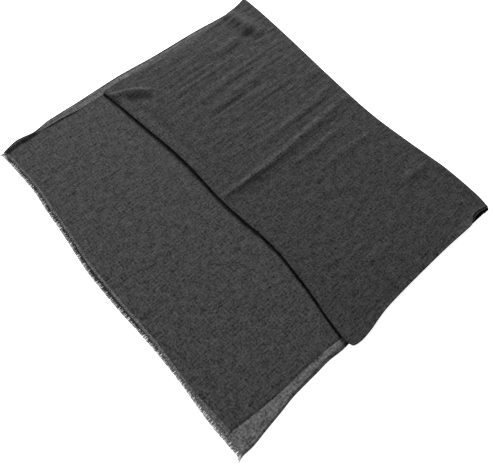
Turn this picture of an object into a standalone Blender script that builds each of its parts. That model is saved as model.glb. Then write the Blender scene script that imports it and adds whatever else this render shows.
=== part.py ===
"""A thin wool scarf with a short fringe at both ends, folded flat and lying on a table.

The scarf is one length of cloth, about 700 mm wide and 2030 mm long. It is folded in half across its
length, so both fringed ends lie together, and the folded end is then turned back over the rest. Two
layers show beside the turned-back flap, and four lie on each other inside it.

Lengths here are millimetres from the near corner of the fringed ends: "along" runs down the scarf's
length to the turn, "across" from the near selvedge to the far one, and "height" up from the table.
place() turns them to metres about the middle of the folded scarf.
"""

from collections import namedtuple
from math import cos, exp, pi, sin

import bmesh
import bpy
from mathutils import Vector

NAME = "wool_scarf"

# The cloth's wall, the space that parts two layers lying on each other, and the height of all four.
WALL = 1.0
GAP = 0.3
STEP = WALL + GAP
STACK = 4 * WALL + 3 * GAP

# The middle of the folded scarf, which is the part's origin.
MIDDLE_ALONG = 312.0
MIDDLE_ACROSS = 353.3

# The flap's two ends: its tuck under the turn, and the soft roll where the scarf's middle is folded,
# with a short return below that roll, as far as the hidden seam.
TURN_ALONG = 626.0
FRONT_ALONG = 248.0
TUCK = 12.0
ROLL_HEIGHT = 5.0
ROLL_UNEVEN = 0.35
ROLL_SLOPE = 26.0
TURN_SLOPE = 22.0
EDGE_CALM = 45.0

# The hidden layers: how deep the groove between them is at their rim, and how long they are.
RIM_GROOVE = 5.0
INNER_LENGTH = 355.0

# The fringe: a strip of woven end with threads that stand out of it.
STRANDS = 80
STRIP_DEPTH = 2.2
STRIP_INSET = 0.1
STRAND_LENGTH = 5.0
STRAND_UNEVEN = 0.9
STRAND_LEAN = 0.8
STRAND_ROOT_SHARE = 0.5
STRAND_TIP_SHARE = 0.16
TIP_LOW = 0.35
TIP_HIGH = 0.7

Edge = namedtuple("Edge", "place reach")
Fold = namedtuple("Fold", "start bend end width height")
Zone = namedtuple("Zone", "low high parts")

# Edges that run along the scarf: how far across each layer reaches, at places along.
UNDER_NEAR = (
    Edge(0, -2.2), Edge(22, -3.0), Edge(54, 0.5), Edge(87, 3.8), Edge(118, 7.4), Edge(165, 8.1),
    Edge(200, 8.7), Edge(229, 5.8), Edge(270, 7.0), Edge(400, 9.5), Edge(480, 7.5), Edge(547, 4.9),
    Edge(600, 3.2), Edge(634, 2.7),
)
UNDER_FAR = (
    Edge(0, 698), Edge(18, 704), Edge(41, 708.5), Edge(74, 703.8), Edge(95, 706.5), Edge(109, 709),
    Edge(180, 709.3), Edge(255, 711), Edge(293, 710.8), Edge(371, 706.2), Edge(454, 705),
    Edge(496, 703.6), Edge(539, 700.5), Edge(584, 699.2), Edge(634, 704.5),
)
LOWER_NEAR = (
    Edge(0, 36), Edge(37, 31.8), Edge(69, 28.5), Edge(105, 26.6), Edge(184, 25.3), Edge(223, 23.1),
    Edge(240, 20.7), Edge(320, 17), Edge(470, 13), Edge(634, 9),
)
LOWER_FAR = (
    Edge(0, 696), Edge(41, 701), Edge(63, 700.5), Edge(101, 696.3), Edge(132, 694.8),
    Edge(173, 691.5), Edge(221, 691.5), Edge(300, 696), Edge(450, 696), Edge(550, 695), Edge(634, 701),
)
RETURN_NEAR = (Edge(230, 4), Edge(270, 2.5), Edge(340, 9), Edge(470, 12.5), Edge(634, 8))
RETURN_FAR = (Edge(230, 695), Edge(300, 691.5), Edge(450, 689), Edge(550, 692), Edge(634, 701))
FLAP_NEAR = (
    Edge(230, -2.0), Edge(248, -3.2), Edge(269, -4.6), Edge(290, -2.7), Edge(311, 0.9), Edge(333, 3.8),
    Edge(366, 5.3), Edge(412, 6.0), Edge(497, 5.8), Edge(545, 7.6), Edge(590, 8.4), Edge(612, 7.2),
    Edge(634, 4.2),
)
FLAP_FAR = (
    Edge(230, 701.5), Edge(248, 699), Edge(269, 695), Edge(315, 691), Edge(383, 684), Edge(451, 682),
    Edge(527, 686.5), Edge(558, 692), Edge(600, 699.5), Edge(634, 706),
)

# Edges that run across the scarf: how far along each reaches, at places across.
UNDER_END = (
    Edge(0, 3.5), Edge(67, 1.6), Edge(142, 4.8), Edge(222, 4), Edge(306, -0.6), Edge(395, -1.8),
    Edge(442, 2), Edge(491, 6), Edge(541, 8.8), Edge(593, 13), Edge(647, 11.2), Edge(704, 8),
)
LOWER_END = (
    Edge(35, 9.4), Edge(61, 7.6), Edge(101, 5), Edge(135, 4.2), Edge(222, 6.2), Edge(306, 3.4),
    Edge(395, 2.4), Edge(442, 5.6), Edge(491, 9), Edge(541, 11.8), Edge(593, 15.4), Edge(647, 14),
    Edge(700, 10.5),
)
TURN = (
    Edge(0, 627), Edge(38, 632.2), Edge(113, 633.2), Edge(152, 629.4), Edge(191, 625), Edge(231, 621),
    Edge(272, 617.8), Edge(314, 616.8), Edge(358, 618.2), Edge(449, 623), Edge(545, 629),
    Edge(647, 633), Edge(706, 632.4),
)
FLAP_FRONT = (
    Edge(-5, 243), Edge(12, 241.5), Edge(38, 244.2), Edge(74, 249), Edge(112, 255.8),
    Edge(160, 261.5), Edge(200, 265), Edge(240, 264.6), Edge(290, 259), Edge(353, 255),
    Edge(430, 256.5), Edge(494, 254), Edge(542, 249), Edge(591, 244), Edge(642, 239), Edge(702, 231.5),
)
HIDDEN_SEAM = (
    Edge(-5, 267), Edge(120, 282), Edge(240, 290), Edge(430, 283), Edge(580, 270), Edge(706, 258),
)

# How much higher than a flat bend the cloth stands at the turn, at places across.
TURN_PUFF = (
    Edge(0, 1.6), Edge(60, 1.0), Edge(150, 0.5), Edge(340, 1.1), Edge(420, 0.4), Edge(560, 0.5),
    Edge(640, 1.3), Edge(706, 1.8),
)

# Ridges and hollows, each on a curve in plan from start past bend to end, as (along, across). Height
# is over the layer below, and a negative one is a hollow in the cloth's slack.
FLAP_SLACK = 0.9
FLAP_FOLDS = (
    Fold((232, 686), (288, 676), (320, 630), 7, 2.6),
    Fold((246, 652), (272, 650), (304, 622), 11, -1.3),
    Fold((262, 612), (268, 602), (274, 592), 9, -0.9),
    Fold((270, 588), (277, 550), (277, 505), 9, -0.9),
    Fold((330, 622), (337, 615), (344, 606), 10, -0.9),
    Fold((470, 611), (530, 615), (592, 634), 8, 2.2),
    Fold((588, 706), (592, 672), (602, 640), 9, 2.4),
    Fold((556, 690), (562, 660), (570, 640), 13, -1.4),
    Fold((355, 551), (450, 551), (552, 561), 7, 1.3),
    Fold((362, 511), (450, 512), (545, 522), 8, 1.4),
    Fold((440, 480), (490, 481), (540, 486), 7, 0.8),
    Fold((435, 388), (500, 388), (612, 408), 7, 1.2),
    Fold((254, 347), (450, 345), (626, 364), 7, 2.3),
    Fold((425, 313), (490, 313), (560, 310), 8, 0.9),
    Fold((455, 274), (530, 275), (612, 262), 9, 1.0),
    Fold((400, 232), (440, 224), (486, 212), 9, 0.7),
    Fold((548, 152), (618, 140), (606, 48), 12, 1.6),
    Fold((563, 140), (572, 95), (572, 42), 15, -1.0),
    Fold((520, 4), (580, 0), (626, 10), 13, 2.2),
    Fold((470, 690), (520, 700), (560, 696), 12, 1.0),
)
LOWER_SLACK = 0.15
LOWER_FOLDS = (
    Fold((243, 470), (224, 432), (206, 380), 11, 1.1),
    Fold((14, 346), (120, 345), (236, 346), 6, 0.5),
    Fold((92, 706), (150, 700), (232, 697), 9, 0.5),
    Fold((150, 200), (190, 150), (238, 130), 22, 0.6),
    Fold((40, 560), (90, 590), (150, 640), 24, 0.6),
)

# How finely each piece is divided. The flap's rows lie closer together where its folds are.
FLAP_ACROSS = (
    Zone(0, 30, 3), Zone(30, 180, 6), Zone(180, 330, 7), Zone(330, 372, 6), Zone(372, 475, 5),
    Zone(475, 570, 8), Zone(570, 690, 10), Zone(690, 706, 1),
)
FLAP_ALONG_PARTS = 12
TURN_PARTS = 6
ROLL_PARTS = 6
LOWER_ACROSS_PARTS = 26
LOWER_ALONG_PARTS = 12
UNDER_ACROSS_PARTS = 22
UNDER_ALONG_PARTS = 16
INNER_ACROSS_PARTS = 20
INNER_ALONG_PARTS = 9
NOSE_PARTS = 3
CURVE_PARTS = 12
PLAN_ROUNDS = 4


def place(along, across, height):
    """A point in metres about the folded scarf's middle."""
    return Vector((along - MIDDLE_ALONG, across - MIDDLE_ACROSS, height)) / 1000


def between(low, high, share):
    return low + (high - low) * share


def smooth(share):
    share = min(1.0, max(0.0, share))
    return share * share * (3 - 2 * share)


def even_shares(parts):
    return [number / parts for number in range(parts + 1)]


def reach(edges, where):
    """How far the cloth reaches at one place: a smooth line through the rows of its table."""
    last = len(edges) - 1
    row = min(last - 1, max(0, sum(edge.place <= where for edge in edges) - 1))
    here, there = edges[row], edges[row + 1]
    span = there.place - here.place
    share = min(1.0, max(0.0, (where - here.place) / span))

    def slope(number):
        before, after = edges[max(number - 1, 0)], edges[min(number + 1, last)]
        return (after.reach - before.reach) / (after.place - before.place)

    leaving = slope(row) * share * (1 - share) ** 2
    arriving = slope(row + 1) * share**2 * (1 - share)
    return between(here.reach, there.reach, smooth(share)) + span * (leaving - arriving)


def fold_height(fold, along, across):
    """What one ridge or hollow adds at a point: most on its line, faded to its sides and its ends."""
    nearest = None
    for share in even_shares(CURVE_PARTS):
        line = [
            (1 - share) ** 2 * start + 2 * share * (1 - share) * bend + share**2 * end
            for start, bend, end in zip(fold.start, fold.bend, fold.end)
        ]
        distance = (line[0] - along) ** 2 + (line[1] - across) ** 2
        if nearest is None or distance < nearest:
            nearest, where = distance, share
    fade = 1 - abs(2 * where - 1) ** 3
    return fold.height * fade * exp(-nearest / fold.width**2)


def slack_height(slack, along, across):
    """The long, low waves of cloth that lies loosely."""
    waves = sin(along / 61 + across / 47) + sin(along / 97 - across / 71 + 1.3)
    return slack * (1 + 0.35 * waves)


def flap_lift(along, across):
    """How high the flap's top layer stands over the layer below it."""
    from_edges = min(across - reach(FLAP_NEAR, along), reach(FLAP_FAR, along) - across)
    calm = between(0.25, 1.0, smooth(from_edges / EDGE_CALM))
    lift = slack_height(FLAP_SLACK, along, across) * calm
    return max(0.05, lift + sum(fold_height(fold, along, across) for fold in FLAP_FOLDS))


def lower_lift(along, across):
    """How high the lower layer stands over the one on the table. It lies flat under the flap."""
    lift = slack_height(LOWER_SLACK, along, across)
    lift += sum(fold_height(fold, along, across) for fold in LOWER_FOLDS)
    in_front = reach(FLAP_FRONT, across) - along
    return max(0.0, lift) * smooth((in_front - 3) / 22)


def zone_places(zones):
    """The places that divide each zone into its equal parts."""
    places = [zones[0].low]
    for zone in zones:
        places += [between(zone.low, zone.high, share) for share in even_shares(zone.parts)[1:]]
    return places


def in_plan(low_end, high_end, near, far, along_share, across_share):
    """A point of a layer in plan, between its two ends and its two selvedges."""
    across = between(near[0].reach, far[0].reach, across_share)
    for _ in range(PLAN_ROUNDS):
        along = between(low_end(across), high_end(across), along_share)
        across = between(reach(near, along), reach(far, along), across_share)
    return between(low_end(across), high_end(across), along_share), across


def wool(name, colour):
    """Matt, dark wool cloth."""
    material = bpy.data.materials.new(name)
    material.use_nodes = True
    shader = material.node_tree.nodes["Principled BSDF"]
    shader.inputs["Base Color"].default_value = (*colour, 1.0)
    shader.inputs["Roughness"].default_value = 0.92
    shader.inputs["Metallic"].default_value = 0.0
    material.diffuse_color = (*colour, 1.0)
    return material


def laid_grid(columns, rows, point):
    """A grid of faces whose corners lie at point(column, row), and those corners by their numbers."""
    mesh_edit = bmesh.new()
    parts = len(columns) - 1, len(rows) - 1
    bmesh.ops.create_grid(mesh_edit, x_segments=parts[0], y_segments=parts[1], size=0.5)
    corners = {}
    for vertex in mesh_edit.verts:
        column = round((vertex.co.x + 0.5) * parts[0])
        row = round((vertex.co.y + 0.5) * parts[1])
        vertex.co = point(columns[column], rows[row])
        corners[column, row] = vertex
    return mesh_edit, corners


def add_piece(name, mesh_edit, collection, material):
    """A named object from a bmesh, shaded smooth."""
    mesh = bpy.data.meshes.new(name)
    mesh_edit.to_mesh(mesh)
    mesh_edit.free()
    mesh.shade_smooth()
    mesh.materials.append(material)
    piece = bpy.data.objects.new(name, mesh)
    collection.objects.link(piece)
    return piece


def add_sheet(name, columns, rows, point, collection, material):
    """A cloth wall: a laid grid with the wall's thickness on the side that its faces point to."""
    mesh_edit, _ = laid_grid(columns, rows, point)
    piece = add_piece(name, mesh_edit, collection, material)
    thicken = piece.modifiers.new("Cloth wall", "SOLIDIFY")
    thicken.thickness = WALL / 1000
    thicken.offset = 1
    thicken.use_even_offset = True
    return piece


def turn_radius(across):
    """The radius of the flap's outer side where it wraps the turn."""
    return (STACK + reach(TURN_PUFF, across)) / 2


def make_under_stretch(collection, material):
    """The half of the scarf that lies on the table, from its fringed end to the flap's tuck."""

    def low_end(across):
        return reach(UNDER_END, across)

    def high_end(across):
        return reach(TURN, across) - turn_radius(across) - TUCK - GAP

    def point(along_share, across_share):
        plan = in_plan(low_end, high_end, UNDER_NEAR, UNDER_FAR, along_share, across_share)
        return place(*plan, 0.0)

    shares = even_shares(UNDER_ALONG_PARTS), even_shares(UNDER_ACROSS_PARTS)
    return add_sheet("under_stretch", *shares, point, collection, material)


def make_lower_panel(collection, material):
    """The other half, which lies on it and shows beside the flap, as far as the flap's return."""

    def low_end(across):
        return reach(LOWER_END, across)

    def high_end(across):
        return reach(HIDDEN_SEAM, across)

    def point(along_share, across_share):
        plan = in_plan(low_end, high_end, LOWER_NEAR, LOWER_FAR, along_share, across_share)
        return place(*plan, STEP + lower_lift(*plan))

    shares = even_shares(LOWER_ALONG_PARTS), even_shares(LOWER_ACROSS_PARTS)
    return add_sheet("lower_panel", *shares, point, collection, material)


def turn_outline(turn, radius):
    """The flap's outer side where it wraps the turn, from its tuck up to its top, as (along, height)."""
    points = [(turn - radius - TUCK, 0.0), (turn - radius - TUCK / 3, 0.0)]
    for share in even_shares(TURN_PARTS):
        angle = pi * share
        points.append((turn - radius + radius * sin(angle), radius - radius * cos(angle)))
    return points


def roll_outline(front, seam, crest):
    """The flap's outer side where the scarf's middle is folded: a soft roll and the return below it."""
    bottom = 2 * STEP
    radius = (crest - bottom) / 2
    points = []
    for share in even_shares(ROLL_PARTS):
        angle = pi * share
        points.append((front + radius * (1 - sin(angle)), bottom + radius * (1 + cos(angle))))
    return points + [(between(front, seam, 0.5), bottom), (seam, bottom)]


def roll_crest(across):
    """How high the roll at the flap's front stands over the table."""
    return 2 * STEP + ROLL_HEIGHT + ROLL_UNEVEN * (sin(across / 55) + 0.6 * sin(across / 23 + 1))


def flap_across(along, across_share):
    return between(reach(FLAP_NEAR, along), reach(FLAP_FAR, along), across_share)


def flap_outline(across_share):
    """The flap's outer side in section: its tuck, the turn, the top, the roll and the return."""
    at_turn = flap_across(TURN_ALONG, across_share)
    at_front = flap_across(FRONT_ALONG, across_share)
    turned = turn_outline(reach(TURN, at_turn), turn_radius(at_turn))
    front, seam = reach(FLAP_FRONT, at_front), reach(HIDDEN_SEAM, at_front)
    rolled = roll_outline(front, seam, roll_crest(at_front))
    back, ahead = turned[-1], rolled[0]
    outline = list(turned)
    for share in even_shares(FLAP_ALONG_PARTS)[1:-1]:
        along = between(back[0], ahead[0], share)
        height = STACK + flap_lift(along, flap_across(along, across_share))
        to_roll = smooth(1 - (along - ahead[0]) / ROLL_SLOPE)
        to_turn = smooth(1 - (back[0] - along) / TURN_SLOPE)
        height = between(height, max(height, ahead[1]), to_roll)
        outline.append((along, between(height, max(height, back[1]), to_turn)))
    return outline + rolled


def make_top_flap(collection, material):
    """The end that is turned back: it wraps the turn, lies on top and folds under at its front."""
    places = zone_places(FLAP_ACROSS)
    shares = [(across - places[0]) / (places[-1] - places[0]) for across in places]
    outlines = {share: flap_outline(share) for share in shares}
    columns = range(len(outlines[shares[0]]))

    def point(number, share):
        along, height = outlines[share][number]
        if number < columns[-1]:
            return place(along, flap_across(along, share), height)
        across = between(reach(RETURN_NEAR, along), reach(RETURN_FAR, along), share)
        return place(reach(HIDDEN_SEAM, across), across, height)

    return add_sheet("top_flap", columns, shares, point, collection, material)


def layered_rim(lower_reach, upper_reach, outward, flatness):
    """The rim of two layers that lie on each other, from below to above, as (across, height)."""
    soft = 0.35
    groove = min(lower_reach * outward, upper_reach * outward) * outward - outward * RIM_GROOVE
    rim = (
        (lower_reach - outward * soft, 0.0),
        (lower_reach, soft),
        (lower_reach, WALL - soft),
        (groove, WALL + GAP / 2),
        (upper_reach, STEP + soft),
        (upper_reach, STEP + WALL - soft),
        (upper_reach - outward * soft, STEP + WALL),
    )
    return [(between(groove, across, flatness), STEP + height) for across, height in rim]


def inner_section(along_share, flatness):
    """The two hidden layers in section across the scarf, as a loop of points in metres."""

    def along_at(across):
        start = reach(HIDDEN_SEAM, across) + GAP
        turn = reach(TURN, across) - turn_radius(across) + (STEP + WALL) / 2 - GAP
        return between(start, turn, along_share)

    along = along_at(MIDDLE_ACROSS)
    near = layered_rim(reach(LOWER_NEAR, along), reach(RETURN_NEAR, along), -1, flatness)
    far = layered_rim(reach(LOWER_FAR, along), reach(RETURN_FAR, along), 1, flatness)
    shares = even_shares(INNER_ACROSS_PARTS)[1:-1]
    middle = [between(near[0][0], far[0][0], share) for share in shares]
    below = [(across, STEP) for across in middle]
    above = [(across, 2 * STEP + WALL) for across in reversed(middle)]
    centre = STEP + (STEP + WALL) / 2
    return [
        place(along_at(across), across, between(centre, height, flatness))
        for across, height in below + far + above + near[::-1]
    ]


def make_inner_layers(collection, material):
    """The two layers inside the flap, as one solid that is rounded where they bend at the turn."""
    nose_length = (STEP + WALL) / 2 / INNER_LENGTH
    angles = [pi / 2 * number / NOSE_PARTS for number in range(NOSE_PARTS)]
    nose = [(nose_length * (1 - cos(angle)), sin(angle)) for angle in angles]
    stations = list(nose)
    for share in even_shares(INNER_ALONG_PARTS):
        stations.append((between(nose_length, 1 - nose_length, share), 1.0))
    stations += [(1 - share, flatness) for share, flatness in nose[::-1]]
    sections = [inner_section(share, flatness) for share, flatness in stations]
    around = len(sections[0])

    def point(column, row):
        return sections[row][column % around]

    mesh_edit, _ = laid_grid(range(around + 1), range(len(sections)), point)
    bmesh.ops.remove_doubles(mesh_edit, verts=mesh_edit.verts, dist=0.00002)
    bmesh.ops.recalc_face_normals(mesh_edit, faces=mesh_edit.faces)
    return add_piece("inner_layers", mesh_edit, collection, material)


def strand_marks():
    """Where the strands and the spaces between them end, as shares of the fringe's width."""
    marks = [0.0]
    half_root = STRAND_ROOT_SHARE / 2
    for number in range(STRANDS):
        marks += [(number + 0.5 - half_root) / STRANDS, (number + 0.5 + half_root) / STRANDS]
    return marks + [1.0]


def make_fringe(name, end, near, far, parts, level, collection, material):
    """One fringed end: a strip of its last weft, parted from the cloth, and the strands out of it."""

    def low_end(across):
        return reach(end, across)

    cloth = [in_plan(low_end, low_end, near, far, 0.0, share) for share in even_shares(parts)]

    def strip_point(share, in_front):
        part = min(parts - 1, int(share * parts))
        along, across = (
            between(here, there, share * parts - part)
            for here, there in zip(cloth[part], cloth[part + 1])
        )
        return place(along - GAP - STRIP_DEPTH * in_front, across, level + STRIP_INSET)

    mesh_edit, corners = laid_grid(strand_marks(), (1, 0), strip_point)
    half_tip = (far[0].reach - near[0].reach) / STRANDS / 1000 * STRAND_TIP_SHARE / 2
    tips = {}
    for number in range(STRANDS):
        root = corners[2 * number + 1, 0], corners[2 * number + 2, 0]
        length = (STRAND_LENGTH + STRAND_UNEVEN * sin(number * 2.4)) / 1000
        lean = STRAND_LEAN * sin(number * 1.7) / 1000
        middle = (root[0].co + root[1].co) / 2
        made = bmesh.ops.extrude_edge_only(mesh_edit, edges=[mesh_edit.edges.get(root)])
        for vertex in made["geom"]:
            if isinstance(vertex, bmesh.types.BMVert):
                side = half_tip if vertex.co.y > middle.y else -half_tip
                vertex.co = middle + Vector((-length, lean + side, 0))
                tips[vertex.co.to_tuple(6)] = True
    wall = bmesh.ops.extrude_face_region(mesh_edit, geom=mesh_edit.faces[:])
    upper = {item for item in wall["geom"] if isinstance(item, bmesh.types.BMVert)}
    for vertex in mesh_edit.verts:
        if vertex.co.to_tuple(6) in tips:
            vertex.co.z = (level + (TIP_HIGH if vertex in upper else TIP_LOW)) / 1000
        elif vertex in upper:
            vertex.co.z = (level + WALL - STRIP_INSET) / 1000
    bmesh.ops.recalc_face_normals(mesh_edit, faces=mesh_edit.faces)
    return add_piece(name, mesh_edit, collection, material)


def main():
    for leftover in list(bpy.context.scene.objects):
        bpy.data.objects.remove(leftover, do_unlink=True)
    scarf = bpy.data.collections.new(NAME)
    bpy.context.scene.collection.children.link(scarf)

    make_under_stretch(scarf, wool("under_wool", (0.060, 0.060, 0.060)))
    make_lower_panel(scarf, wool("lower_wool", (0.048, 0.048, 0.048)))
    make_inner_layers(scarf, wool("inner_wool", (0.044, 0.044, 0.044)))
    make_top_flap(scarf, wool("flap_wool", (0.044, 0.044, 0.044)))
    make_fringe(
        "fringe_under", UNDER_END, UNDER_NEAR, UNDER_FAR, UNDER_ACROSS_PARTS, 0.0,
        scarf, wool("under_yarn", (0.100, 0.100, 0.100)),
    )
    make_fringe(
        "fringe_lower", LOWER_END, LOWER_NEAR, LOWER_FAR, LOWER_ACROSS_PARTS, STEP,
        scarf, wool("lower_yarn", (0.100, 0.100, 0.100)),
    )


main()
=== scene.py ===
import math
from collections import namedtuple

import bmesh
import bpy
import numpy as np
from mathutils import Matrix, Vector, noise


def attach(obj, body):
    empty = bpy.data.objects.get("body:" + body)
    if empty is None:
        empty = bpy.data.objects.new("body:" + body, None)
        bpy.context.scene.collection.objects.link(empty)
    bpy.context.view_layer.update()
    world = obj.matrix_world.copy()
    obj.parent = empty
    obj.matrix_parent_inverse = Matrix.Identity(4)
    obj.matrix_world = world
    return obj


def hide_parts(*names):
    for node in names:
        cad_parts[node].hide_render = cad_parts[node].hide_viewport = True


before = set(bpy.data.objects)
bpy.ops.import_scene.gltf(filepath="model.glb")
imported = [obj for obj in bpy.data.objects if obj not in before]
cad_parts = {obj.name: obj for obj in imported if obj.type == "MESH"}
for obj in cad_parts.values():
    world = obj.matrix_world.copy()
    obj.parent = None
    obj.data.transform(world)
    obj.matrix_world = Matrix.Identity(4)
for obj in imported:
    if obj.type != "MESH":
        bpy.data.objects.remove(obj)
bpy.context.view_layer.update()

# The view of the photograph: a hand-held camera over the corner where the near selvedge meets the
# fringe, looking down at the folded scarf. Its place was fitted to the four corners of the outline.
# The place is in metres and the angles are in degrees.
CAMERA_PLACE = Vector((-0.2913, -0.3103, 0.7675))
CAMERA_TILT = 22.72
CAMERA_TURN = -45.75
CAMERA_ROLL = 4.36
LENS_MM = 33.2
SENSOR_MM = 36.0

camera_data = bpy.data.cameras.new("photo_camera")
camera_data.lens = LENS_MM
camera_data.sensor_width = SENSOR_MM
camera = bpy.data.objects.new("photo_camera", camera_data)
bpy.context.scene.collection.objects.link(camera)
camera.matrix_world = (
    Matrix.Translation(CAMERA_PLACE)
    @ Matrix.Rotation(math.radians(CAMERA_TURN), 4, "Z")
    @ Matrix.Rotation(math.radians(CAMERA_TILT), 4, "X")
    @ Matrix.Rotation(math.radians(CAMERA_ROLL), 4, "Z")
)
bpy.context.scene.camera = camera
bpy.context.scene.view_settings.view_transform = "Standard"


# A plain white table top, matt and lit evenly from below, as in a photographer's light table. The
# scarf lies on it, and a single layer of the thin cloth looks lighter over it.
# The table reaches 4 m each way and lies 0.2 mm below the cloth, so that no two faces coincide.
FLOOR_HALF = 4.0
FLOOR_DROP = 0.0002
FLOOR_HEX = "#f4f4f4"
FLOOR_GLOW = 1.0


def linear(hex_colour):
    """A colour given as sRGB hex, in the linear values that the shaders take."""
    parts = [int(hex_colour[start : start + 2], 16) / 255 for start in (1, 3, 5)]
    return [part / 12.92 if part <= 0.04045 else ((part + 0.055) / 1.055) ** 2.4 for part in parts]


def add_node(tree, kind, settings=(), links=()):
    """A node with its properties or input values, and the links that come into it."""
    node = tree.nodes.new(kind)
    for name, value in dict(settings).items():
        if isinstance(name, str) and hasattr(node, name):
            setattr(node, name, value)
        else:
            node.inputs[name].default_value = value
    for name, socket in dict(links).items():
        tree.links.new(socket, node.inputs[name])
    return node


def new_material(name):
    material = bpy.data.materials.new(name)
    material.use_nodes = True
    return material, material.node_tree, material.node_tree.nodes["Principled BSDF"]


def painted_table_top():
    """White table top, matt: even and pale, with no shine and hardly a shadow."""
    material, _, shader = new_material("matt_white_table")
    shader.inputs["Base Color"].default_value = (*linear(FLOOR_HEX), 1)
    shader.inputs["Roughness"].default_value = 0.9
    shader.inputs["Specular IOR Level"].default_value = 0.1
    shader.inputs["Emission Color"].default_value = (*linear(FLOOR_HEX), 1)
    shader.inputs["Emission Strength"].default_value = FLOOR_GLOW
    return material


table_edit = bmesh.new()
bmesh.ops.create_grid(table_edit, x_segments=1, y_segments=1, size=FLOOR_HALF)
bmesh.ops.translate(table_edit, verts=table_edit.verts, vec=(0, 0, -FLOOR_DROP))
table_mesh = bpy.data.meshes.new("table_top")
table_edit.to_mesh(table_mesh)
table_edit.free()
table_mesh.materials.append(painted_table_top())
table = bpy.data.objects.new("table_top", table_mesh)
bpy.context.scene.collection.objects.link(table)


# Soft studio light: one large panel beyond the far corner, which lights the far side of each crease,
# a weak one high beyond the far end of the fringe, and an even, weak light from all round.
KEY_PLACE = Vector((2.65, 3.8, 1.85))
KEY_SIZE = 1.4
KEY_WATTS = 592.0
TOP_PLACE = Vector((-1.3, 0.9, 1.5))
TOP_SIZE = 1.0
TOP_WATTS = 14.0
ROOM_LIGHT = 0.065


def soft_panel(name, where, size, watts):
    """A square soft light aimed at the middle of the scarf."""
    light = bpy.data.lights.new(name, "AREA")
    light.size = size
    light.energy = watts
    panel = bpy.data.objects.new(name, light)
    turned = where.to_track_quat("Z", "Y").to_matrix().to_4x4()
    panel.matrix_world = Matrix.Translation(where) @ turned
    bpy.context.scene.collection.objects.link(panel)


soft_panel("key_panel", KEY_PLACE, KEY_SIZE, KEY_WATTS)
soft_panel("top_panel", TOP_PLACE, TOP_SIZE, TOP_WATTS)
room = bpy.data.worlds.new("studio")
room.use_nodes = True
room.node_tree.nodes["Background"].inputs["Color"].default_value = (1, 1, 1, 1)
room.node_tree.nodes["Background"].inputs["Strength"].default_value = ROOM_LIGHT
bpy.context.scene.world = room


# The half that lies on the table, woven wool, flat under everything else. It shows as a lighter strip
# along both selvedges, where it lies alone and the pale table shines through its thin cloth.
# Lengths are millimetres from the near corner of the fringed ends, along the scarf and across it.
WALL = 1.0
GAP = 0.3
STEP = WALL + GAP
STACK = 4 * WALL + 3 * GAP
MIDDLE_ALONG = 312.0
MIDDLE_ACROSS = 353.3
TUCK = 12.0
PLAN_ROUNDS = 5

# The two flat layers are drawn thinner than the wall, so that their edges show no thick dark line, and
# their ends reach a little way over the strip that the fringe stands on.
PRESSED_WALL = 0.6
END_SHIFT = 1.8

# Each row of an edge is (where along or across it is, how far the cloth reaches there).
UNDER_NEAR = (
    (0, -2.2), (22, -3.0), (54, 0.5), (87, 3.8), (118, 7.4), (165, 8.1), (200, 8.7), (229, 5.8),
    (270, 7.0), (400, 9.5), (480, 7.5), (547, 4.9), (600, 3.2), (634, 2.7),
)
UNDER_FAR = (
    (0, 698), (18, 704), (41, 708.5), (74, 703.8), (95, 706.5), (109, 709), (180, 709.3), (255, 711),
    (293, 710.8), (371, 706.2), (454, 705), (496, 703.6), (539, 700.5), (584, 699.2), (634, 704.5),
)
UNDER_END = (
    (0, 3.5), (67, 1.6), (142, 4.8), (222, 4), (306, -0.6), (395, -1.8), (442, 2), (491, 6), (541, 8.8),
    (593, 13), (647, 11.2), (704, 8),
)
TURN = (
    (0, 627), (38, 632.2), (113, 633.2), (152, 629.4), (191, 625), (231, 621), (272, 617.8),
    (314, 616.8), (358, 618.2), (449, 623), (545, 629), (647, 633), (706, 632.4),
)

# How much higher than a flat bend the cloth stands at the turn, at places across.
TURN_PUFF = (
    (0, -0.9), (24, 0.6), (60, 0.9), (150, 0.5), (340, 1.1), (420, 0.4), (560, 0.5), (640, 1.3),
    (706, 1.8),
)


def between(low, high, share):
    return low + (high - low) * share


def smooth(share):
    share = np.clip(share, 0.0, 1.0)
    return share * share * (3 - 2 * share)


def rise(where, start, length):
    """From 0 before the start of a stretch to 1 past its length, with a soft beginning and end."""
    return smooth((where - start) / length)


def reach(edge, where):
    """How far the cloth reaches at each place: a smooth line through the rows of an edge."""
    places, reaches = np.array(edge, float).T
    count = len(places)
    before, after = np.maximum(np.arange(count) - 1, 0), np.minimum(np.arange(count) + 1, count - 1)
    slopes = (reaches[after] - reaches[before]) / (places[after] - places[before])
    row = np.clip(np.searchsorted(places, where, side="right") - 1, 0, count - 2)
    span = places[row + 1] - places[row]
    share = np.clip((where - places[row]) / span, 0.0, 1.0)
    bend = slopes[row] * share * (1 - share) ** 2 - slopes[row + 1] * share**2 * (1 - share)
    return between(reaches[row], reaches[row + 1], smooth(share)) + span * bend


def turn_radius(across):
    """The radius of the cloth's outer side where the flap wraps the turn."""
    return (STACK + reach(TURN_PUFF, across)) / 2


def in_plan(low_end, high_end, near, far, along_share, across_share):
    """The points of a layer in plan, between its two ends and its two selvedges."""
    across = between(near[0][1], far[0][1], across_share) + 0 * along_share
    for _ in range(PLAN_ROUNDS):
        along = between(low_end(across), high_end(across), along_share)
        across = between(reach(near, along), reach(far, along), across_share)
    return along, across


def closer_at_ends(parts, pull):
    """Shares from 0 to 1 that lie closer together near both ends."""
    even = np.linspace(0, 1, parts + 1)
    return between(even, 0.5 - 0.5 * np.cos(np.pi * even), pull)


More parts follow.
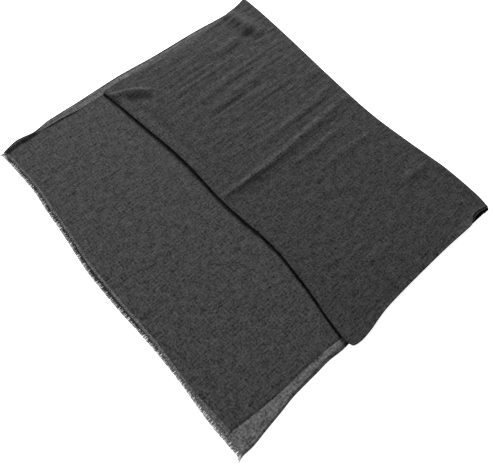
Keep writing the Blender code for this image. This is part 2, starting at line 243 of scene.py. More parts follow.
def laid_cloth(name, along, across, height, down_sheet, material, wall_mm, shade):
    """A cloth wall laid through arrays of points, with its map in metres of cloth, and its painted light
    and shade kept in the mesh: how bright each point is painted, as a share of the cloth's own grey."""
    columns, rows = along.shape
    edit = bmesh.new()
    bmesh.ops.create_grid(edit, x_segments=columns - 1, y_segments=rows - 1, size=0.5)
    cloth_map = edit.loops.layers.uv.new("cloth")
    painted_light_and_shade = edit.verts.layers.float.new("painted_light_and_shade")
    numbers = {}
    for vertex in edit.verts:
        column = round((vertex.co.x + 0.5) * (columns - 1))
        row = round((vertex.co.y + 0.5) * (rows - 1))
        numbers[vertex.index] = column, row
        vertex.co = Vector(
            (
                along[column, row] - MIDDLE_ALONG,
                across[column, row] - MIDDLE_ACROSS,
                height[column, row],
            )
        ) / 1000
        vertex[painted_light_and_shade] = shade[column, row]
    for face in edit.faces:
        for loop in face.loops:
            column, row = numbers[loop.vert.index]
            loop[cloth_map].uv = down_sheet[column, row] / 1000, across[column, row] / 1000
    mesh = bpy.data.meshes.new(name)
    edit.to_mesh(mesh)
    edit.free()
    mesh.shade_smooth()
    mesh.materials.append(material)
    piece = bpy.data.objects.new(name, mesh)
    bpy.context.scene.collection.objects.link(piece)
    wall = piece.modifiers.new("Cloth wall", "SOLIDIFY")
    wall.thickness = wall_mm / 1000
    wall.offset = 1
    wall.use_even_offset = True
    return piece


def melange_wool(name, mean_hex, contrast=1.0):
    """Charcoal wool in a fine plain weave, raised a little: matt, with pale and dark fibres spun
    together, so each thread varies along its length. Threads are 0.7 mm apart in the cloth, and are
    drawn 3.3 mm apart with flecks of 3.5 mm, because finer ones don't show at the photograph's size."""
    material, tree, shader = new_material(name)
    cloth = add_node(tree, "ShaderNodeUVMap", {"uv_map": "cloth"}).outputs["UV"]

    # The space from thread to thread, how far one shade runs along a warp and a weft thread, and how
    # large the flecks and the soft clouds over them are.
    thread_mm, warp_run_mm, weft_run_mm, fleck_mm, cloud_mm = 3.3, 22.0, 16.0, 3.5, 15.0
    darkest_fibre = 0.12
    nap_mm = 0.5

    # Each layer: how long its marks are along the scarf and across it, its detail and its weight.
    layers = (
        ("warp", warp_run_mm, thread_mm, 1.0, 0.66),
        ("weft", thread_mm, weft_run_mm, 1.0, 0.6),
        ("fleck", fleck_mm, fleck_mm, 1.0, 1.2),
        ("cloud", cloud_mm, cloud_mm, 2.0, 0.38),
    )
    brightness = None
    patterns = {}
    for number, (layer, along_mm, across_mm, detail, weight) in enumerate(layers):
        placed = add_node(
            tree,
            "ShaderNodeMapping",
            {
                "Location": (number * 3.7, number * 1.9, 0),
                "Scale": (1000 / along_mm, 1000 / across_mm, 1),
            },
            {"Vector": cloth},
        )
        patterns[layer] = add_node(
            tree,
            "ShaderNodeTexNoise",
            {"Scale": 1.0, "Detail": detail, "Roughness": 0.6},
            {"Vector": placed.outputs["Vector"]},
        ).outputs["Fac"]
        centred = add_node(
            tree, "ShaderNodeMath", {"operation": "SUBTRACT", 1: 0.5}, {0: patterns[layer]}
        ).outputs[0]
        weighted = add_node(
            tree,
            "ShaderNodeMath",
            {"operation": "MULTIPLY", 1: 2 * weight * contrast},
            {0: centred},
        ).outputs[0]
        added = {0: weighted} if brightness is None else {0: weighted, 1: brightness}
        brightness = add_node(tree, "ShaderNodeMath", {"operation": "ADD", 1: 1.0}, added).outputs[0]
    limited = add_node(
        tree, "ShaderNodeMath", {"operation": "MAXIMUM", 1: darkest_fibre}, {0: brightness}
    ).outputs[0]
    # The painted light and shade kept in the mesh scales the wool's grey at each point.
    shade = add_node(tree, "ShaderNodeAttribute", {"attribute_name": "painted_light_and_shade"}).outputs["Fac"]
    shaded = add_node(
        tree, "ShaderNodeMath", {"operation": "MULTIPLY"}, {0: limited, 1: shade}
    ).outputs[0]
    tint = add_node(
        tree, "ShaderNodeVectorMath", {"operation": "SCALE", 0: linear(mean_hex)}, {"Scale": shaded}
    )
    tree.links.new(tint.outputs["Vector"], shader.inputs["Base Color"])
    relief = add_node(
        tree, "ShaderNodeMath", {"operation": "ADD"}, {0: patterns["warp"], 1: patterns["fleck"]}
    ).outputs[0]
    bump = add_node(
        tree, "ShaderNodeBump", {"Strength": 0.35, "Distance": nap_mm / 1000}, {"Height": relief}
    )
    tree.links.new(bump.outputs["Normal"], shader.inputs["Normal"])
    shader.inputs["Roughness"].default_value = 0.95
    shader.inputs["Specular IOR Level"].default_value = 0.08
    shader.inputs["Sheen Weight"].default_value = 0.02
    shader.inputs["Sheen Roughness"].default_value = 0.6
    shader.inputs["Sheen Tint"].default_value = (*linear("#9a9a9a"), 1)
    return material


def turn_cover(across):
    """Where the under half ends: just inside the flap's end, which wraps the turn below it."""
    return reach(TURN, across) - turn_radius(across) - 0.7 * TUCK


def under_end(across):
    return reach(UNDER_END, across) - END_SHIFT


def on_line(distance, centre, width):
    """How near a point is to the middle of a narrow line: 1 on it and 0 beside it."""
    return np.exp(-(((distance - centre) / width) ** 2))


UNDER_ALONG_PARTS = 110
UNDER_ACROSS_PARTS = 230
under_along, under_across = in_plan(
    under_end, turn_cover, UNDER_NEAR, UNDER_FAR,
    closer_at_ends(UNDER_ALONG_PARTS, 0.6)[:, None], closer_at_ends(UNDER_ACROSS_PARTS, 0.85)[None, :],
)
single_layer = melange_wool("single_layer_wool", "#5f5f5f")

# Its painted shade: dark along the woven edges, where the far corner is doubled, and on the thin line
# where the far edge turns up; a painted shadow of the upper end and of the turn's open end; and duller
# in its far half. A shade is the share of the cloth's grey that is left there, and a depth is the share
# that is taken.
NEAR_EDGE_SHADE = 0.42
FAR_EDGE_SHADE = 0.3
FAR_HALF_SHADE = 0.84
DOUBLED_DEPTH = 0.5
TURNED_UP_SHADE_DEPTH = 0.6
END_SHADOW_DEPTH = 0.68
TURN_SHADOW_DEPTH = 0.93
from_near = under_across - reach(UNDER_NEAR, under_along)
from_far = reach(UNDER_FAR, under_along) - under_across
from_end = under_along - under_end(under_across)
near_edge_width = between(2.6, 5.5, rise(under_along, 60, 170))
far_edge_width = between(1.6, 2.6, rise(under_along, 225, 20))
under_shade = between(NEAR_EDGE_SHADE, 1.0, rise(from_near, near_edge_width, 2.2))
under_shade *= between(FAR_EDGE_SHADE, 1.0, rise(from_far, far_edge_width, 1.4))
in_far_half = rise(under_across, 400, 50)
under_shade *= between(1.0, FAR_HALF_SHADE, in_far_half)
under_shade *= 1 - DOUBLED_DEPTH * in_far_half * (1 - rise(under_along, 80, 16))
turned_up_shade = on_line(from_far, 7.0 + 0.8 * np.sin(under_along / 17), 1.1)
turned_up_shade *= rise(under_along, 45, 10) * (1 - rise(under_along, 232, 6))
under_shade *= 1 - TURNED_UP_SHADE_DEPTH * turned_up_shade
under_shade *= 1 - END_SHADOW_DEPTH * rise(under_across, 110, 60) * (1 - rise(from_end, 2.2, 1.6))
under_shade *= 1 - TURN_SHADOW_DEPTH * rise(under_along, 566, 10) * (1 - rise(under_across, 20, 10))
under_stretch = laid_cloth(
    "under_stretch_cloth", under_along, under_across, 0 * under_along, under_along,
    single_layer, PRESSED_WALL, under_shade,
)
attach(under_stretch, "root")
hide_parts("under_stretch")


# The other half, which lies on it and shows beside the flap: the same wool, two layers deep here. It
# runs on under the flap's roll, where it lies flat, painted nearly black as the roll's shadow, as far as
# the seam that the part hides.
LOWER_NEAR = (
    (0, 36), (37, 31.8), (69, 28.5), (105, 26.6), (184, 25.3), (223, 23.1), (240, 20.7), (320, 17),
    (470, 13), (634, 9),
)
LOWER_FAR = (
    (0, 696), (41, 701), (63, 700.5), (101, 696.3), (132, 694.8), (173, 691.5), (221, 691.5),
    (300, 696), (450, 696), (550, 695), (634, 701),
)
LOWER_END = (
    (35, 9.4), (61, 7.6), (101, 5), (135, 4.2), (222, 6.2), (306, 3.4), (395, 2.4), (442, 5.6),
    (491, 9), (541, 11.8), (593, 15.4), (647, 14), (700, 10.5),
)
FLAP_FRONT = (
    (-5, 248), (0, 245), (6, 242.4), (14, 241.5), (38, 244.2), (74, 249), (112, 255.8), (160, 261.5),
    (200, 265), (240, 264.6), (290, 259), (353, 255), (430, 256.5), (494, 254), (542, 249),
    (591, 244), (642, 239), (702, 231.5),
)
HIDDEN_SEAM = ((-5, 267), (120, 282), (240, 290), (430, 283), (580, 270), (706, 258))

LOWER_SLACK = 0.15

# Each fold is a line in plan from its start past its bend to its end, how wide it is on its left and
# on its right, and how high it stands, or how deep it lies when that is negative.
LOWER_FOLDS = (
    ((246, 474), (224, 432), (206, 380), 12, 9, 1.5),
    ((14, 346), (120, 345), (236, 346), 4, 8, 0.5),
    ((92, 706), (150, 700), (232, 697), 9, 9, 0.5),
    ((150, 200), (190, 150), (238, 130), 22, 22, 0.6),
    ((40, 560), (90, 590), (150, 640), 24, 24, 0.6),
)
CURVE_PARTS = 40

# The cloth's fine unevenness: how high it is, its length along the scarf, its width across, its seed.
LOWER_GRAINS = ((0.25, 60, 12, 2.0), (0.22, 24, 30, 5.0))

# How high the far selvedge curls up and how wide its curl is, at places along, and how far the near
# edge and the end are pressed down.
SELVEDGE_CURL = (
    (0, 1.6), (12, 3.4), (45, 3.8), (76, 3.2), (90, 1.0), (108, 1.5), (160, 1.4), (180, 0.4),
    (290, 0.2),
)
CURL_WIDTH = ((0, 9), (76, 9), (90, 5), (180, 4), (290, 4))
EDGE_PRESSED = 0.52
LOWER_ALONG_PARTS = 100
LOWER_ACROSS_PARTS = 240


def fold_height(folds, along, across):
    """What the ridges and hollows add at each point: most on a line, faded to its sides and ends."""
    total = np.zeros_like(along)
    for start, bend, end, left_width, right_width, height in folds:
        nearest = np.full_like(along, 1e9)
        where = np.zeros_like(along)
        left = np.zeros_like(along)
        for share in np.linspace(0, 1, CURVE_PARTS + 1):
            line = [
                (1 - share) ** 2 * first + 2 * share * (1 - share) * second + share**2 * third
                for first, second, third in zip(start, bend, end)
            ]
            run = [
                (1 - share) * (second - first) + share * (third - second)
                for first, second, third in zip(start, bend, end)
            ]
            distance = (line[0] - along) ** 2 + (line[1] - across) ** 2
            side = run[0] * (across - line[1]) - run[1] * (along - line[0])
            closer = distance < nearest
            where = np.where(closer, share, where)
            left = np.where(closer, side > 0, left)
            nearest = np.where(closer, distance, nearest)
        fade = 1 - np.abs(2 * where - 1) ** 3
        width = np.where(left > 0, left_width, right_width)
        total += height * fade * np.exp(-nearest / width**2)
    return total


def slack_height(slack, along, across):
    """The long, low waves of cloth that lies loosely."""
    waves = np.sin(along / 61 + across / 47) + np.sin(along / 97 - across / 71 + 1.3)
    return slack * (1 + 0.35 * waves)


def grain(along, across, run, pitch, seed):
    """Small unevenness drawn out along the scarf: from -1 to 1 at each point."""
    flat = [
        noise.noise(Vector((down / run, over / pitch, seed)))
        for down, over in zip(along.ravel(), across.ravel())
    ]
    return np.array(flat).reshape(along.shape)


def lower_end(across):
    return reach(LOWER_END, across) - END_SHIFT


def hidden_seam(across):
    return reach(HIDDEN_SEAM, across)


lower_along, lower_across = in_plan(
    lower_end, hidden_seam, LOWER_NEAR, LOWER_FAR,
    np.linspace(0, 1, LOWER_ALONG_PARTS + 1)[:, None], closer_at_ends(LOWER_ACROSS_PARTS, 0.7)[None, :],
)
in_front = reach(FLAP_FRONT, lower_across) - lower_along
lower_lift = slack_height(LOWER_SLACK, lower_along, lower_across)
lower_lift += fold_height(LOWER_FOLDS, lower_along, lower_across)
for height, run, pitch, seed in LOWER_GRAINS:
    lower_lift += height * grain(lower_along, lower_across, run, pitch, seed)
lower_lift = np.maximum(lower_lift, 0.0) * rise(in_front, 3, 22)
from_edges = np.minimum(
    lower_across - reach(LOWER_NEAR, lower_along), lower_along - lower_end(lower_across)
)
lower_lift *= rise(from_edges, 0, 14)
from_far = reach(LOWER_FAR, lower_along) - lower_across
curl = reach(SELVEDGE_CURL, lower_along) * (1 - rise(from_far, 0, reach(CURL_WIDTH, lower_along)))
lower_height = PRESSED_WALL + between(-EDGE_PRESSED, 0.05, rise(from_edges, 0, 4)) + lower_lift + curl

# Its painted shade: a painted highlight at its near edge and its end, and a painted shadow, nearly
# black, close under the flap's roll.
LOWER_EDGE_SHADE = 1.25
UNDER_ROLL_SHADE = 0.02
lower_shade = between(UNDER_ROLL_SHADE, 1.0, rise(in_front, 0.4, 2.4))
lower_shade *= between(LOWER_EDGE_SHADE, 1.0, rise(from_edges, 0.5, 2.5))
doubled_wool = melange_wool("charcoal_wool", "#3e3e3e")
lower_panel = laid_cloth(
    "lower_panel_cloth", lower_along, lower_across, lower_height, lower_along, doubled_wool,
    PRESSED_WALL, lower_shade,
)
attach(lower_panel, "root")
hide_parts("lower_panel")


# The two hidden layers inside the flap: the same cloth, which runs back to the turn, bends round on
# itself and comes forward again. Its selvedges show between the flap and the table.
RETURN_NEAR = (
    (230, 4), (270, 2.5), (340, 9), (470, 12.5), (558, 9), (572, 5.2), (584, 6.4), (594, 9.6),
    (604, 10.2), (616, 8.2), (634, 4.4),
)
RETURN_FAR = ((230, 695), (300, 691.5), (450, 689), (550, 692), (634, 701))
INNER_BEND_RADIUS = (STEP + WALL) / 2
INNER_BEND_PARTS = 8
INNER_ALONG_PARTS = 45
INNER_ACROSS_PARTS = 150

inner_along_shares = np.linspace(0, 1, INNER_ALONG_PARTS + 1)[:, None]
inner_across_shares = closer_at_ends(INNER_ACROSS_PARTS, 0.7)[None, :]


def inner_bend(across):
    return reach(TURN, across) - turn_radius(across) - GAP


def inner_start(across):
    return hidden_seam(across) + GAP


below_along, below_across = in_plan(
    inner_start, inner_bend, LOWER_NEAR, LOWER_FAR, inner_along_shares, inner_across_shares
)
above_along, above_across = in_plan(
    inner_start, inner_bend, RETURN_NEAR, RETURN_FAR, inner_along_shares[::-1], inner_across_shares
)
bend_angles = np.pi * np.linspace(0, 1, INNER_BEND_PARTS + 1)[1:-1, None]
bend_share = bend_angles / np.pi
bend_across = between(below_across[-1:], above_across[:1], bend_share)
bend_along = inner_bend(bend_across) + INNER_BEND_RADIUS * np.sin(bend_angles)
bend_height = STEP + INNER_BEND_RADIUS * (1 - np.cos(bend_angles)) + 0 * bend_across
inner_along = np.vstack([below_along, bend_along, above_along])
inner_across = np.vstack([below_across, bend_across, above_across])
inner_height = np.vstack(
    [0 * below_along + STEP, bend_height, 0 * above_along + STEP + 2 * INNER_BEND_RADIUS]
)
steps = np.hypot(np.diff(inner_along, axis=0), np.diff(inner_height, axis=0))
inner_down = np.vstack([0 * steps[:1], np.cumsum(steps, axis=0)])

# Its painted shade: a painted highlight near the far edge but a painted dark line on the edge itself,
# and a painted highlight on the near edge, most of all beside the turn, where that edge stands in the
# open.
INNER_FAR_SHADE = 1.6
INNER_RIM_SHADE = 0.4
INNER_NEAR_HIGHLIGHT = 0.5
INNER_OPEN_HIGHLIGHT = 6.0
inner_from_near = inner_across - inner_across[:, :1]
inner_from_far = inner_across[:, -1:] - inner_across
inner_shade = between(INNER_FAR_SHADE, 1.0, rise(inner_from_far, 0, 6))
inner_shade *= between(INNER_RIM_SHADE, 1.0, rise(inner_from_far, 0.5, 1.2))
near_highlight = INNER_NEAR_HIGHLIGHT + INNER_OPEN_HIGHLIGHT * rise(inner_along, 565, 15)
inner_shade *= 1 + near_highlight * (1 - rise(inner_from_near, 1.5, 1.0))
inner_layers = laid_cloth(
    "inner_layers_cloth", inner_along, inner_across, inner_height, inner_down, doubled_wool, WALL,
    inner_shade,
)
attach(inner_layers, "root")
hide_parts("inner_layers")


# The flap: the folded end, turned back over the rest. The cloth wraps the turn, lies in shallow creases
# that run along the scarf, with one pressed crease down the middle, and rolls under at its front.
FLAP_NEAR = (
    (236, 3.0), (243, 0.5), (250, -2.6), (258, -4.2), (269, -4.6), (290, -2.7), (311, 0.9),
    (333, 3.8), (366, 5.3), (412, 6.0), (497, 5.8), (530, 4.8), (560, 3.6), (572, 3.9), (582, 8.6),
    (590, 12.6), (600, 13.4), (612, 11.6), (624, 8.0), (634, 4.4),
)
FLAP_FAR = (
    (230, 693.0), (248, 694.5), (269, 695), (315, 691), (383, 684), (451, 682), (527, 686.5),
    (558, 692), (600, 699.5), (634, 706),
)
FLAP_SLACK = 0.9
FLAP_FOLDS = (
    ((228, 681), (280, 667), (322, 622), 3.2, 15, 4.0),
    ((290, 687), (380, 678), (480, 675), 3, 6, 0.9),
    ((330, 668), (400, 664), (470, 667), 3, 7, 0.9),
    ((350, 592), (430, 586), (520, 592), 4, 8, 0.8),
    ((256, 640), (276, 634), (304, 612), 8, 12, -1.5),
    ((262, 612), (265, 600), (270, 590), 8, 8, -1.3),
    ((272, 588), (278, 550), (277, 505), 8, 8, -1.2),
    ((330, 622), (337, 615), (344, 604), 8, 9, -1.4),
    ((455, 622), (530, 618), (596, 640), 8, 12, 2.8),
    ((490, 598), (530, 600), (590, 618), 9, 12, -1.2),
    ((440, 650), (470, 649), (505, 650), 5, 10, 1.2),
    ((570, 704), (575, 648), (590, 596), 17, 16, 5.2),
    ((546, 650), (552, 614), (546, 578), 12, 15, -2.2),
    ((552, 604), (532, 594), (494, 592), 8, 10, -1.8),
    ((355, 550), (450, 552), (552, 560), 4, 12, 1.7),
    ((355, 512), (450, 515), (548, 521), 11, 13, 2.3),
    ((440, 484), (480, 486), (520, 488), 4, 9, 1.1),
    ((425, 470), (480, 468), (540, 484), 5, 12, 1.2),
    ((560, 452), (590, 450), (622, 452), 5, 11, 1.1),
    ((410, 388), (490, 389), (606, 398), 6, 12, 2.3),
    ((236, 348), (440, 343), (626, 364), 4.5, 14, 4.0),
    ((250, 351), (290, 348), (370, 343), 3, 5, 1.7),
    ((400, 312), (480, 314), (575, 310), 6, 10, 1.8),
    ((440, 268), (530, 272), (620, 258), 7, 8, 1.2),
    ((400, 232), (440, 224), (486, 214), 9, 12, 0.5),
    ((530, 148), (575, 154), (612, 142), 6, 14, 1.5),
    ((563, 140), (572, 95), (572, 42), 15, 15, -1.2),
    ((520, 4), (580, 0), (626, 10), 10, 14, 2.4),
    ((470, 690), (520, 700), (560, 696), 12, 12, 1.0),
)
TURN_ALONG = 626.0
FRONT_ALONG = 248.0

# Fine creases run along the flap, over small unevenness. They are highest in its far half, and fade out
# towards the roll.
FINE_CREASE_HEIGHT = 1.25
NEAR_HALF_CREASES = 0.35
UNEVEN_HEIGHT = 0.22

# The roll's height over the two layers below it, at places across, how uneven it is, how gently the
# cloth falls behind it, and the soft trough that lies behind it in the far half.
ROLL_HEIGHT = (
    (-5, 2.6), (40, 2.8), (120, 3.0), (300, 3.3), (500, 3.3), (600, 3.0), (660, 2.6), (706, 2.0),
)
ROLL_UNEVEN = 0.35
ROLL_SLOPE = 10.0
TROUGH_DEPTH = 0.9
TROUGH_BEHIND = 21
TROUGH_WIDTH = 9

# How far the cloth takes to settle beside the turn, and how far from its edges its slack lies lower.
TURN_SLOPE = 22.0
EDGE_CALM = 45.0
TURN_PARTS = 12
ROLL_PARTS = 14
TOP_PARTS = 120
FLAP_ACROSS_PARTS = 236

flap_shares = closer_at_ends(FLAP_ACROSS_PARTS, 0.15)[None, :]


def flap_across(along):
    return between(reach(FLAP_NEAR, along), reach(FLAP_FAR, along), flap_shares)


def roll_crest(across):
    uneven = ROLL_UNEVEN * (np.sin(across / 55) + 0.6 * np.sin(across / 23 + 1))
    return 2 * STEP + reach(ROLL_HEIGHT, across) + uneven


def flap_lift(along, across):
    """How high the flap's top layer stands over the layer below it."""
    from_edges = np.minimum(across - reach(FLAP_NEAR, along), reach(FLAP_FAR, along) - across)
    calm = between(0.25, 1.0, rise(from_edges, 0, EDGE_CALM))
    lift = slack_height(FLAP_SLACK, along, across) * calm
    lift += fold_height(FLAP_FOLDS, along, across)
    creased = between(NEAR_HALF_CREASES, 1.0, rise(across, 250, 200)) * rise(along, 270, 90)
    lift += FINE_CREASE_HEIGHT * creased * grain(along, across, 62, 7.5, 1.0)
    lift += UNEVEN_HEIGHT * grain(along, across, 22, 12, 7.0)
    return np.maximum(lift, 0.05)


turn_across = flap_across(np.full((1, 1), TURN_ALONG))
front_across = flap_across(np.full((1, 1), FRONT_ALONG))
radius = turn_radius(turn_across)
turn = reach(TURN, turn_across)
angles = np.pi * np.linspace(0, 1, TURN_PARTS + 1)[:, None]
tuck_along = turn - radius - TUCK * np.array([1.0, 0.6, 0.25])[:, None]
turned_along = np.vstack([tuck_along, turn - radius + radius * np.sin(angles)])
turned_height = np.vstack([0 * tuck_along, radius * (1 - np.cos(angles))])
front = reach(FLAP_FRONT, front_across)
crest = roll_crest(front_across)
roll_radius = (crest - 2 * STEP) / 2
angles = np.pi * np.linspace(0, 1, ROLL_PARTS + 1)[:, None]
rolled_along = front + roll_radius * (1 - np.sin(angles))
rolled_height = 2 * STEP + roll_radius * (1 + np.cos(angles))
back_share = np.array([0.25, 0.6, 1.0])[:, None]
return_along = between(rolled_along[-1:], hidden_seam(front_across), back_share)
return_height = 0 * return_along + 2 * STEP
top_share = np.linspace(0, 1, TOP_PARTS + 1)[1:-1, None]
top_along = between(turned_along[-1:], rolled_along[:1], top_share)
top_across = flap_across(top_along)
top_height = STACK + flap_lift(top_along, top_across)
behind_roll = top_along - rolled_along[:1]
trough = on_line(behind_roll, TROUGH_BEHIND, TROUGH_WIDTH) * rise(top_across, 380, 90)
top_height -= TROUGH_DEPTH * trough
to_roll = on_line(behind_roll, 0, ROLL_SLOPE)
to_turn = smooth(1 - (turned_along[-1:] - top_along) / TURN_SLOPE)
top_height = between(top_height, np.maximum(top_height, rolled_height[:1]), to_roll)
top_height = between(top_height, np.maximum(top_height, turned_height[-1:]), to_turn)
flap_along = np.vstack([turned_along, top_along, rolled_along, return_along])
flap_height = np.vstack([turned_height, top_height, rolled_height, return_height])
return_across = between(
    reach(RETURN_NEAR, return_along), reach(RETURN_FAR, return_along), flap_shares
)
flap_across_all = np.vstack([flap_across(flap_along[: -len(back_share)]), return_across])

# At its open near end, the lower half of the turn reaches out to the under half's edge.
turned_rows = len(turned_along)
below = 1 - rise(np.arange(turned_rows)[:, None], len(tuck_along), 0.6 * TURN_PARTS)
out_to_edge = reach(UNDER_NEAR, turned_along[:, :1]) - flap_across_all[:turned_rows, :1] - 1.0
flap_across_all[:turned_rows] += below * out_to_edge * (1 - rise(flap_shares, 0, 0.04))
steps = np.hypot(np.diff(flap_along, axis=0), np.diff(flap_height, axis=0))
flap_down = np.vstack([0 * steps[:1], np.cumsum(steps, axis=0)])

# Its painted shade: a painted highlight along the near edge and a painted dark line along the far one,
# a painted shadow in the open end of the turn, and painted shade darkening down the roll, so that the
# roll's underside and the return behind it are nearly black.
FLAP_NEAR_SHADE = 1.4
FAR_SHADE_LINE_DEPTH = 0.6
TURN_MOUTH_SHADOW_DEPTH = 0.9
ROLL_UNDERSIDE_SHADE = 0.02
RETURN_SHADE = 0.15
from_near = flap_across_all - flap_across_all[:, :1]
from_far = flap_across_all[:, -1:] - flap_across_all
flap_shade = between(FLAP_NEAR_SHADE, 1.0, rise(from_near, 1.2, 5.0)) + 0 * flap_along
far_shade_line = on_line(from_far, 0.4, 1.6) * (0.7 + 0.3 * np.sin(flap_along / 19))
flap_shade *= 1 - FAR_SHADE_LINE_DEPTH * far_shade_line
turn_mouth_shadow = below * (1 - rise(from_near[:turned_rows], 3, 4))
flap_shade[:turned_rows] *= (1 - TURN_MOUTH_SHADOW_DEPTH * turn_mouth_shadow) ** 2
first_roll = turned_rows + len(top_along)
first_return = first_roll + ROLL_PARTS + 1
roll_turned = np.linspace(0, 1, ROLL_PARTS + 1)[:, None]
flap_shade[first_roll:first_return] *= between(
    1.0, ROLL_UNDERSIDE_SHADE, rise(roll_turned, 0.36, 0.2)
)
flap_shade[first_return:] = RETURN_SHADE
# The flap takes a darker copy of the same wool: painted shade, for the flap gives back less of the
# light.
flap_wool = melange_wool("charcoal_wool_flap", "#383838", contrast=1.05)
top_flap = laid_cloth(
    "top_flap_cloth", flap_along, flap_across_all, flap_height, flap_down, flap_wool, WALL, flap_shade
)
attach(top_flap, "root")
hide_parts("top_flap")


# The fringe at both ends: the warp left loose past the last weft, about 7 mm of fuzzy wool yarn, grey,
# and painted paler than the cloth as a painted highlight, since single yarns catch the light. The ends
# lie flat and splay a little.
YARN_RINGS = 4
YARN_SIDES = 4

# The threads open into finer ends. These are how far apart the ends stand, an end's radius at its root
# and the share of it that it loses at its tip, how far the upper ones droop, and how high they lie.
FRINGE_PITCH = 0.42
YARN_RADIUS = 0.46
YARN_TAPER = 0.4
YARN_DROOP = 0.25
YARN_MIDDLE = 0.5

# How wide the bunches are that neighbouring yarns gather in, and how far from a corner the yarns are
# longer and splay outwards.
BUNCH_WIDTH = 5.5
CORNER_WIDTH = 2.5

# How long the yarns are at places across, from their roots inside the cloth.
UNDER_LENGTHS = ((-10, 8.4), (120, 8.6), (180, 8.0), (700, 7.6), (720, 7.6))
LOWER_LENGTHS = ((0, 8.0), (90, 7.5), (150, 5.8), (300, 5.0), (700, 5.0), (720, 5.0))


def fringe_yarn():
    """Loose ends of grey wool yarn, matt and hairy, scaled by the painted light and shade kept in the
    mesh, which makes them pale at their tips as a painted highlight. The pale and dark fibres are far
    finer than the marks of 2.4 mm drawn here, which still show."""
    material, tree, shader = new_material("loose_wool_yarn")
    where = add_node(tree, "ShaderNodeTexCoord").outputs["Object"]
    fibre_mm = 2.4
    mixed = add_node(
        tree, "ShaderNodeTexNoise", {"Scale": 1000 / fibre_mm, "Detail": 2.0}, {"Vector": where}
    )
    ramp = add_node(tree, "ShaderNodeValToRGB", {}, {"Fac": mixed.outputs["Fac"]})
    ramp.color_ramp.elements[0].position = 0.3
    ramp.color_ramp.elements[0].color = (*linear("#3d3d3d"), 1)
    ramp.color_ramp.elements[1].position = 0.7
    ramp.color_ramp.elements[1].color = (*linear("#8f8f8f"), 1)
    shade = add_node(tree, "ShaderNodeAttribute", {"attribute_name": "painted_light_and_shade"})
    shaded = add_node(
        tree,
        "ShaderNodeVectorMath",
        {"operation": "SCALE"},
        {"Vector": ramp.outputs["Color"], "Scale": shade.outputs["Fac"]},
    )
    tree.links.new(shaded.outputs["Vector"], shader.inputs["Base Color"])
    shader.inputs["Roughness"].default_value = 1.0
    shader.inputs["Sheen Weight"].default_value = 0.3
    shader.inputs["Specular IOR Level"].default_value = 0.1
    return material


def one_yarn():
    """A yarn end along +X, one unit long and with a radius of one unit: a square tube of a few rings."""
    edit = bmesh.new()
    bmesh.ops.create_circle(edit, segments=YARN_SIDES, radius=1.0, cap_ends=True)
    bmesh.ops.rotate(edit, verts=edit.verts, matrix=Matrix.Rotation(math.pi / 2, 3, "Y"))
    face = edit.faces[:][0]
    for _ in range(YARN_RINGS):
        made = bmesh.ops.extrude_face_region(edit, geom=[face])["geom"]
        verts = [item for item in made if isinstance(item, bmesh.types.BMVert)]
        bmesh.ops.delete(edit, geom=[face], context="FACES_ONLY")
        face = next(item for item in made if isinstance(item, bmesh.types.BMFace))
        bmesh.ops.translate(edit, verts=verts, vec=(1 / YARN_RINGS, 0, 0))
    mesh = bpy.data.meshes.new("one_yarn")
    edit.to_mesh(mesh)
    edit.free()
    return mesh


FringedEnd = namedtuple("FringedEnd", "name end near far level inside lengths root tip seed")


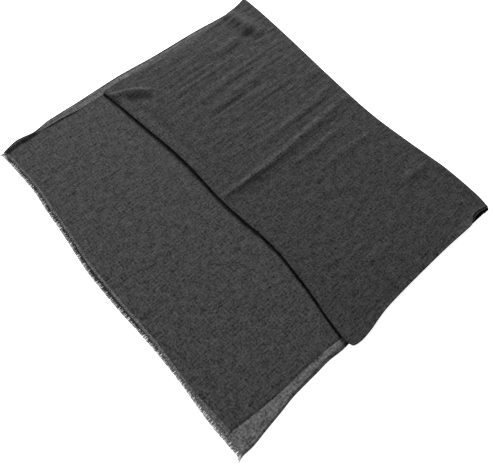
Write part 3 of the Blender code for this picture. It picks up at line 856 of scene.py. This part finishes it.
def make_fringe(fringed, material):
    """All yarn ends of one fringed end, joined, each from the cloth's edge out and down to rest."""
    near, far = fringed.near[0][1], fringed.far[0][1]
    seed = fringed.seed
    pattern = one_yarn()
    count = round((far - near) / FRINGE_PITCH)
    chance = np.random.default_rng(seed)
    edit = bmesh.new()
    painted_light_and_shade = edit.verts.layers.float.new("painted_light_and_shade")
    for number in range(count):
        share = (number + chance.uniform(0.1, 0.9)) / count
        across = between(near, far, share)
        root_along = float(reach(fringed.end, across)) - END_SHIFT + fringed.inside
        bunch = noise.noise(Vector((across / BUNCH_WIDTH, seed, 0)))
        length = float(reach(fringed.lengths, across))
        length *= 1 + 0.07 * bunch + chance.uniform(-0.1, 0.05)
        lean = 0.3 * noise.noise(Vector((across / 6, seed, 4))) + chance.normal(0, 0.1)
        near_corner = math.exp(-(across - near) / CORNER_WIDTH)
        far_corner = math.exp(-(far - across) / CORNER_WIDTH)
        lean += 0.5 * far_corner - 0.4 * near_corner
        length *= 1 + 0.6 * (far_corner + near_corner)
        curl = chance.normal(0, 0.5)
        droop = YARN_DROOP if fringed.level else 0.0
        # Each yarn's painted shade runs from its root's to its tip's: painted shadow at dark roots,
        # painted highlight at pale tips.
        root_shade = between(0.85, fringed.root, float(rise(across, 110, 60)))
        first = len(edit.verts)
        edit.from_mesh(pattern)
        edit.verts.ensure_lookup_table()
        for vertex in edit.verts[first:]:
            run, side, up = vertex.co
            thick = YARN_RADIUS * (1 - YARN_TAPER * max(run, 0.0) ** 1.5)
            outside = float(rise(length * run - fringed.inside, 1.9, 1.4))
            vertex[painted_light_and_shade] = between(root_shade, fringed.tip, outside)
            swung = lean * length * run * run * 0.6 + curl * math.sin(2.6 * run)
            vertex.co = Vector(
                (
                    root_along - length * run - MIDDLE_ALONG,
                    across + swung + side * thick - MIDDLE_ACROSS,
                    fringed.level + YARN_MIDDLE - droop * run * run + up * thick,
                )
            ) / 1000
    bmesh.ops.recalc_face_normals(edit, faces=edit.faces)
    mesh = bpy.data.meshes.new(fringed.name)
    edit.to_mesh(mesh)
    edit.free()
    bpy.data.meshes.remove(pattern)
    mesh.shade_smooth()
    mesh.materials.append(material)
    piece = bpy.data.objects.new(fringed.name, mesh)
    bpy.context.scene.collection.objects.link(piece)
    return piece


# Root and tip are the painted shade at each yarn's root and tip. Past the near corner, the yarns of the
# under fringe are painted dark at their roots, as the upper end's shadow; the lower fringe's roots and
# all tips are painted pale.
FRINGED_ENDS = {
    "fringe_under": FringedEnd(
        name="fringe_under_yarn", end=UNDER_END, near=UNDER_NEAR, far=UNDER_FAR, level=0.0,
        inside=1.5, lengths=UNDER_LENGTHS, root=0.12, tip=1.25, seed=11,
    ),
    "fringe_lower": FringedEnd(
        name="fringe_lower_yarn", end=LOWER_END, near=LOWER_NEAR, far=LOWER_FAR, level=PRESSED_WALL,
        inside=2.6, lengths=LOWER_LENGTHS, root=1.1, tip=1.15, seed=23,
    ),
}
yarn = fringe_yarn()
for node, fringed_end in FRINGED_ENDS.items():
    fringe = make_fringe(fringed_end, yarn)
    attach(fringe, "root")
    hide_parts(node)
